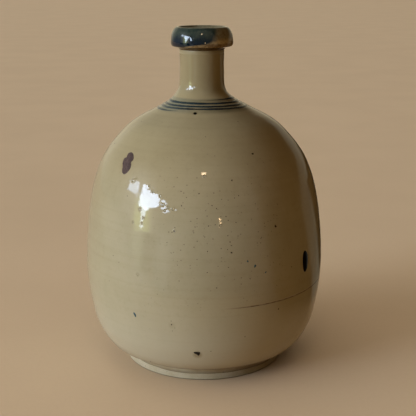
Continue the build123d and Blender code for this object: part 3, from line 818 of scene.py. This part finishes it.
# ----------------------------------------------------------------- brushed line
# One stroke wound down the foot of the neck: (degrees turned, height). The
# front is at 270 degrees and the right-hand side at 360.
STROKE = [
    (278.5, 208.8), (300, 208.9), (347, 208.7), (450, 207.3), (550, 206.9), (630, 206.8),
    (720, 206.2), (810, 205.3), (914.4, 204.7), (990, 204.9), (1080, 204.3), (1170, 203.4),
    (1276, 203.0), (1350, 203.4), (1440, 202.6), (1540, 201.6), (1647, 201.2), (1686, 201.9),
]
stroke = catmull([(d / 57.2958 * 28.0, z * 6.0) for d, z in STROKE], 40)
stroke = spaced(stroke, lambda p: 0.75)
s_th = stroke[:, 0] / 28.0
s_z = stroke[:, 1] / 6.0
ns = len(s_th)
run = np.arange(ns) / (ns - 1)
fat = 1.16 + 0.11 * np.sin(s_th * 3.1 + 0.4) + 0.08 * np.sin(s_th * 7.7) + 0.05 * np.sin(s_th * 19.0)
fat = fat * np.minimum(ease(run, -0.004, 0.05), 1 - ease(run, 0.955, 1.004)) + 0.06
thick = 0.16 * (0.8 + 0.2 * np.sin(s_th * 5.3)) * np.minimum(ease(run, 0, 0.06), 1 - ease(run, 0.93, 1.0)) + 0.015
across = np.array([-1.0, -0.86, -0.62, -0.3, 0.0, 0.3, 0.62, 0.86, 1.0])
lifts = np.array([-0.06, 0.35, 0.8, 1.0, 0.9, 1.0, 0.8, 0.35, -0.06])
slope = np.abs(np.interp(s_z, Z_OF, NR_OF))            # mm of height per mm along the wall
columns = []
for k, (c, l) in enumerate(zip(across, lifts)):
    ragged = 1.0 + 0.06 * np.sin(s_th * (23 + 3 * k) + k)
    zz = s_z + c * fat * slope * ragged * 0.95
    lift = np.where(abs(c) == 1.0, -0.05, l * thick)
    columns.append(skin(s_th, zz, lift))
for c in (0.9, 0.0, -0.9):
    columns.append(skin(s_th, s_z + c * fat * slope * 0.95, -0.16))
cols = np.stack(columns, 1)                            # (ns, 12, 3)
line_rings = [cols[i] for i in range(ns)]
brush = own(ringed("brushed_line", line_rings, BRUSH, cap_start=True, cap_end=True, loop=False),
            "brushed_slip", "shoulder_lines")


# ------------------------------------------------------------------ glaze marks
def blob(outline, high, rough=0.0, n=48, steps=(1.0, 0.95, 0.86, 0.72, 0.54, 0.34, 0.14), flat=2.2, seed=1):
    """A low drop on the glaze with the given (azimuth, height) outline: its
    rings of points, outside in, then the ring under its edge."""
    g = np.random.default_rng(seed)
    line = catmull(outline, 16, closed=True)
    line = line[np.linspace(0, len(line), n, endpoint=False).astype(int)]
    mid = line.mean(0)
    out = [skin(np.radians(line[:, 0]), line[:, 1], -0.2)]
    for f in steps:
        p = mid + (line - mid) * f
        lift = high * (1 - f ** flat) - (0.03 if f == 1.0 else 0.0)
        if rough and f < 1.0:
            lift = lift + rough * g.uniform(-1, 1, n)
        out.append(skin(np.radians(p[:, 0]), p[:, 1], lift))
    return out


def joined(name, blobs, mat):
    """One object from several drops, each closed above and below."""
    v, quads, tris, uvq, uvt = [], [], [], [], []
    base = 0
    for b, rings in enumerate(blobs):
        m, n = len(rings), len(rings[0])
        cell = int(math.ceil(math.sqrt(len(blobs))))
        cu, cv = (b % cell) / cell, (b // cell) / cell
        s = 0.48 / cell

        def uv(f, j):
            w = 2 * math.pi * j / n
            return (cu + 0.5 / cell + s * f * math.cos(w), cv + 0.5 / cell + s * f * math.sin(w))
        v += [r for r in rings] + [rings[-1].mean(0)[None], rings[0].mean(0)[None]]
        for i in range(m - 1):
            fa, fb = 1 - i / (m - 0.5), 1 - (i + 1) / (m - 0.5)
            for j in range(n):
                jn = (j + 1) % n
                quads.append((base + i * n + j, base + i * n + jn, base + (i + 1) * n + jn, base + (i + 1) * n + j))
                uvq += [uv(fa, j), uv(fa, j + 1), uv(fb, j + 1), uv(fb, j)]
        top, under = base + m * n, base + m * n + 1
        for j in range(n):
            jn = (j + 1) % n
            tris.append((base + (m - 1) * n + j, base + (m - 1) * n + jn, top))
            f = 1 - (m - 1) / (m - 0.5)
            uvt += [uv(f, j), uv(f, j + 1), uv(0, j)]
            tris.append((base + jn, base + j, under))
            uvt += [uv(1, j + 1), uv(1, j), uv(0.999, j + 0.5)]
        base += m * n + 2
    return build(name, np.vstack(v), np.array(quads), np.array(uvq + uvt), mat, tris)


def dab(az, z, r, n=14, seed=0):
    """A small speck's outline: a wobbly round of radius r mm."""
    g = np.random.default_rng(seed + 11)
    rr = np.interp(z, Z_OF, R_OF)
    up = abs(np.interp(z, Z_OF, NR_OF))
    w = np.arange(n) * 2 * math.pi / n
    k = r * (1 + 0.22 * np.sin(2 * w + g.uniform(0, 6)) + 0.12 * np.sin(3 * w + g.uniform(0, 6)))
    return [(az + math.degrees(k[i] * math.cos(w[i]) / rr), z + k[i] * math.sin(w[i]) * up) for i in range(n)]


spots = [blob(TOP_SPOT, 0.22, n=40), blob(HEART, 0.24, n=48), blob(OVAL, 0.34, n=56)]
iron = own(joined("iron_drops", spots, IRON), "iron_spot", "iron_spots")
small = []
for i, (az, z, r, dark) in enumerate(SPECKS):
    small.append(blob(dab(az, z, r * (0.85 if dark else 0.72), seed=i), 0.07, n=18,
                      steps=(1.0, 0.8, 0.45), seed=i))
for i in range(46):                                     # more round the sides and back
    az = float(rng.uniform(-30, 200))
    z = float(rng.uniform(20, 196))
    small.append(blob(dab(az, z, float(rng.uniform(0.3, 0.75)), seed=100 + i), 0.06, n=14,
                      steps=(1.0, 0.8, 0.45), seed=i))
specks = own(joined("iron_specks", small, SPECK), "iron_spot")
blue = [blob(TICK, 0.12, n=36, steps=(1.0, 0.85, 0.6, 0.3))]
for i, (az, z, r) in enumerate(TEAL_SPECKS):
    blue.append(blob(dab(az, z, r, seed=40 + i), 0.08, n=18, steps=(1.0, 0.8, 0.45), seed=i))
teal = own(joined("cobalt_specks", blue, TEAL), "brushed_slip")
dry = own(joined("dry_scab", [blob(PATCH, 0.42, rough=0.035, n=96, flat=5.0, seed=5,
                                   steps=(1.0, 0.97, 0.92, 0.85, 0.76, 0.66, 0.55, 0.44, 0.33, 0.22, 0.1))], DRY),
          "dry_slag", "dry_patch")

# ------------------------------------------------------------------------ stage
def stage_floor():
    n, rr = 96, [0.02, 0.12, 0.3, 0.6, 1.2, 2.5, 5.0, 9.0, 16.0]
    a = circle(n)
    rings = [np.stack([r * np.cos(a), r * np.sin(a), 0 * a], 1) * 1000 for r in rr]
    rings += [ring + np.array([0, 0, -20.0]) for ring in rings[::-1]]
    t = Mat("pale_floor", 0.6, 1.4)
    soft = t.noise(6.0, 3.0, 0.5)
    grain = t.noise(300.0, 2.0, 0.5)
    col = t.mix(t.span(soft, 0.3, 0.7), srgb(206, 184, 154), srgb(202, 180, 150))
    col = t.mix(t.span(grain, 0.4, 0.7, 0.0, 0.1), col, srgb(190, 168, 138))
    mat = t.done(col)
    # painted reflection: in the glaze's own reflections the floor ends a hand's breadth in front, and beyond it
    # glows as the dim room with the light of the window down its left side; to bounce rays it is a darker brown
    # copy that paints in a warm bounce light
    path = t.nt.nodes.new("ShaderNodeLightPath")
    x, y, z = t.xyz()
    deg = t.math("MULTIPLY", t.math("ARCTAN2", y, x), 180 / math.pi)
    beam = t.math("MULTIPLY", t.span(deg, -163.0, -159.0), t.span(deg, -145.0, -149.0))
    beam2 = t.math("MULTIPLY", t.span(deg, -136.0, -132.0), t.span(deg, -117.0, -122.0))
    dim = t.nt.nodes.new("ShaderNodeEmission")
    front = t.math("MULTIPLY", t.span(deg, -124.0, -118.0), t.span(deg, -27.0, -34.0))
    strip = t.math("MULTIPLY", t.span(deg, 17.0, 24.0), t.span(deg, 47.0, 40.0))
    room = t.mix(front, (0.016, 0.010, 0.005), (0.15, 0.14, 0.12))
    room = t.mix(beam2, room, (0.55, 0.58, 0.52))
    room = t.mix(strip, room, (0.14, 0.14, 0.11))
    t.put(dim.inputs[0], t.mix(beam, room, (0.90, 0.98, 0.66)))
    far = t.math("MAXIMUM", t.span(y, -0.262, -0.285), t.span(x, 0.115, 0.20))
    back = t.nt.nodes.new("ShaderNodeBsdfDiffuse")
    back.inputs[0].default_value = (0.40, 0.27, 0.14, 1.0)
    bounce = t.nt.nodes.new("ShaderNodeMixShader")
    t.put(bounce.inputs[0], path.outputs["Is Diffuse Ray"])
    cut = t.nt.nodes.new("ShaderNodeMixShader")
    t.put(cut.inputs[0], t.math("MULTIPLY", path.outputs["Is Glossy Ray"], far))
    out = next(n for n in t.nt.nodes if n.type == "OUTPUT_MATERIAL")
    t.nt.links.new(t.bsdf.outputs[0], bounce.inputs[1])
    t.nt.links.new(back.outputs[0], bounce.inputs[2])
    t.nt.links.new(bounce.outputs[0], cut.inputs[1])
    t.nt.links.new(dim.outputs[0], cut.inputs[2])
    t.nt.links.new(cut.outputs[0], out.inputs["Surface"])
    ob = ringed("studio_floor", rings, mat, cap_start=True, cap_end=True, loop=False)
    return ob


FLOOR = stage_floor()
ONLY_FLOOR = bpy.data.collections.new("floor_alone")
ONLY_FLOOR.objects.link(FLOOR)


def lamp(name, kind, az, el, dist, size, power, color, aim=(0, 0, 0.15), only=None):
    """A light seen from the vessel at azimuth and elevation."""
    d = bpy.data.lights.new(name, kind)
    d.energy = power
    d.color = color
    if kind == "AREA":
        d.shape = "RECTANGLE"
        d.size, d.size_y = size
    elif kind == "SUN":
        d.angle = math.radians(size)
    else:
        d.shadow_soft_size = size
    ob = bpy.data.objects.new(name, d)
    a, e = math.radians(az), math.radians(el)
    ob.location = (aim[0] + dist * math.cos(e) * math.cos(a),
                   aim[1] + dist * math.cos(e) * math.sin(a), aim[2] + dist * math.sin(e))
    to = np.array(aim) - np.array(ob.location)
    from mathutils import Vector
    ob.rotation_mode = "QUATERNION"
    ob.rotation_quaternion = Vector(to).to_track_quat("-Z", "Y")
    ob.visible_camera = False
    if only:
        ob.light_linking.receiver_collection = only
    bpy.context.scene.collection.objects.link(ob)
    return ob


# Two small warm lamps; the rest of the light comes from the world
lamp("warm_top", "POINT", -90.0, 43.0, 0.60, 0.021, 0.40, (1.0, 0.72, 0.44))
lamp("warm_far", "POINT", -75.0, 5.4, 2.6, 0.045, 3.2, (1.0, 0.66, 0.34))

lamp("floor_wash", "SUN", -150.0, 62.0, 3.0, 110.0, 1.40, (1.0, 0.865, 0.73), only=ONLY_FLOOR)

# The room: soft lobes of light, (azimuth, elevation, tightness, colour), and a
# window to the left and in front made of panes with uneven edges.
SOFT = [
    (-210, 6, 18, (0.09, 0.11, 0.13)),
    (-180, 6, 18, (0.14, 0.17, 0.20)),
    (-150, 6, 18, (3.00, 2.66, 2.06)),
    (30, 6, 18, (0.050, 0.050, 0.030)),
    (60, 6, 18, (0.200, 0.165, 0.105)),
    (90, 6, 17, (1.060, 0.910, 0.650)),
    (120, 6, 17, (1.050, 0.950, 0.730)),
    (-165, 20, 26, (2.62, 2.84, 3.00)),
    (18, 54, 6, (0.150, 0.083, 0.024)),
]
WINDOW = 14.0

world = bpy.data.worlds.new("studio")
bpy.context.scene.world = world
world.use_nodes = True
W = Mat.__new__(Mat)
W.nt = world.node_tree
W.nt.nodes.clear()
W.co = W.nt.nodes.new("ShaderNodeTexCoord").outputs["Generated"]
W._xyz = None


def vmath(op, a, b=None, scale=None):
    n = W.nt.nodes.new("ShaderNodeVectorMath")
    n.operation = op
    W.put(n.inputs[0], a)
    if b is not None:
        W.put(n.inputs[1], b)
    if scale is not None:
        W.put(n.inputs["Scale"], scale)
    return n.outputs["Value"] if op == "DOT_PRODUCT" else n.outputs[0]


way = vmath("NORMALIZE", W.co)
total = None
for az, el, tight, tone in SOFT:
    a, e = math.radians(az), math.radians(el)
    d = vmath("DOT_PRODUCT", way, (math.cos(e) * math.cos(a), math.cos(e) * math.sin(a), math.sin(e)))
    lobe = vmath("SCALE", tone, scale=W.math("EXPONENT", W.math("MULTIPLY_ADD", d, tight, -tight)))
    total = lobe if total is None else vmath("ADD", total, lobe)

wx, wy, wz = W.xyz()
wob = W.noise(14.0, 3.0, 0.6)
wob2 = W.noise(33.0, 2.0, 0.6)
turn = W.math("MULTIPLY", W.math("ARCTAN2", wy, wx), 180 / math.pi)
turn = W.math("SUBTRACT", turn, W.math("MULTIPLY", W.math("GREATER_THAN", turn, 179.0), 360.0))
rise = W.math("MULTIPLY", W.math("ARCSINE", wz), 180 / math.pi)
azn = W.math("MULTIPLY_ADD", W.math("SUBTRACT", wob, 0.5), 3.4, turn)
eln = W.math("MULTIPLY_ADD", W.math("SUBTRACT", wob2, 0.5), 3.0, rise)


def pane(corners, edge=0.45):
    """1 inside a convex pane given by its (azimuth, elevation) corners in degrees."""
    mid = np.mean(corners, 0)
    mask = None
    for p, q in zip(corners, corners[1:] + corners[:1]):
        n = np.array([-(q[1] - p[1]), q[0] - p[0]], float)
        n /= np.linalg.norm(n)
        if n @ (mid - p) < 0:
            n = -n
        c = float(n @ np.array(p, float))
        side = W.math("MULTIPLY_ADD", azn, float(n[0]), W.math("MULTIPLY_ADD", eln, float(n[1]), -c))
        inside = W.span(side, -edge, edge)
        mask = inside if mask is None else W.math("MULTIPLY", mask, inside)
    return mask


# what the glaze mirrors: the soft light dimmed, a grey room in front, a cool
# strip at the right, and nothing much between them
mirror = W.nt.nodes.new("ShaderNodeLightPath").outputs["Is Glossy Ray"]
total = vmath("SCALE", total, scale=W.math("MULTIPLY_ADD", mirror, -0.60, 1.0))
SKY = (0.80, 0.98, 1.26)
PANES = [
    (pane([(-159.5, 21.6), (-146.3, 21.9), (-136.0, 19.9), (-135.4, 15.0), (-140.9, 10.3),
           (-148.7, 6.8), (-156.3, 8.4), (-159.4, 13.3)]), SKY, 1.0),
    (pane([(-177.0, 15.0), (-175.5, 22.4), (-164.0, 21.8), (-165.0, 15.0), (-171.0, 14.2)]), SKY, 0.46),
    (pane([(-166.0, 20.0), (-162.6, 21.0), (-162.0, 11.5), (-164.0, 12.5)]), SKY, 0.30),
    (pane([(-134.6, 16.6), (-130.2, 17.0), (-123.8, 10.0), (-131.0, 8.8)]), SKY, 0.85),
    (pane([(-154.8, 9.0), (-148.8, 9.0), (-150.6, 0.6), (-153.6, 0.4)], 0.6), SKY, 0.62),
    (pane([(-162.0, 13.0), (-145.0, 13.0), (-143.5, -2.0), (-150.0, -13.0), (-161.0, -15.0)], 3.6), (0.62, 0.80, 0.14), 0.18),
    (pane([(-118.9, 13.6), (-118.1, 14.2), (-117.5, 13.4), (-118.3, 12.8)], 0.5), SKY, 0.7),
]
ROOM = [
    (pane([(-122.0, 62.0), (-24.0, 62.0), (-30.0, 28.0), (-31.0, 0.0), (-27.0, -20.0), (-122.0, -20.0)], 2.5),
     (0.23, 0.21, 0.165)),
    (pane([(23.0, -3.0), (26.0, 4.0), (38.0, 11.0), (52.0, 18.0), (70.0, 20.0), (70.0, 8.0), (56.0, -3.0)], 1.6),
     (0.145, 0.145, 0.115)),
    (pane([(70.0, -8.0), (74.0, 40.0), (112.0, 60.0), (112.0, -8.0)], 4.0), (0.17, 0.15, 0.09)),
    (pane([(112.0, -5.0), (112.0, 60.0), (178.0, 60.0), (178.0, -5.0)], 6.0), (0.22, 0.22, 0.17)),
]
for i, (mask, tone, share) in enumerate(PANES):
    if i > 2:                     # too small to light anything: seen in the glaze only
        mask = W.math("MULTIPLY", mask, mirror)
    light = vmath("SCALE", tuple(c * share * WINDOW for c in tone), scale=mask)
    total = vmath("ADD", total, light)
for mask, tone in ROOM:
    total = vmath("ADD", total, vmath("SCALE", tone, scale=W.math("MULTIPLY", mask, mirror)))
lit = W.nt.nodes.new("ShaderNodeBackground")
W.nt.links.new(total, lit.inputs[0])
seen = W.nt.nodes.new("ShaderNodeBackground")
seen.inputs[0].default_value = (*srgb(186, 166, 140), 1)
path = W.nt.nodes.new("ShaderNodeLightPath")
pick = W.nt.nodes.new("ShaderNodeMixShader")
W.nt.links.new(path.outputs["Is Camera Ray"], pick.inputs[0])
W.nt.links.new(lit.outputs[0], pick.inputs[1])
W.nt.links.new(seen.outputs[0], pick.inputs[2])
wo = W.nt.nodes.new("ShaderNodeOutputWorld")
W.nt.links.new(pick.outputs[0], wo.inputs[0])

bpy.context.scene.view_settings.view_transform = "Standard"

# ----------------------------------------------------------------------- camera
cam = bpy.data.cameras.new("camera")
cam.lens = 77.885
cam.sensor_width = 36.0
cam.sensor_fit = "HORIZONTAL"
cam.clip_start, cam.clip_end = 0.01, 60.0
cam_ob = bpy.data.objects.new("camera", cam)
cam_ob.location = (0.003128, -0.69557, 0.30122)
cam_ob.rotation_euler = (math.radians(90 - 14.633), 0.0, 0.0)
bpy.context.scene.collection.objects.link(cam_ob)
bpy.context.scene.camera = cam_ob
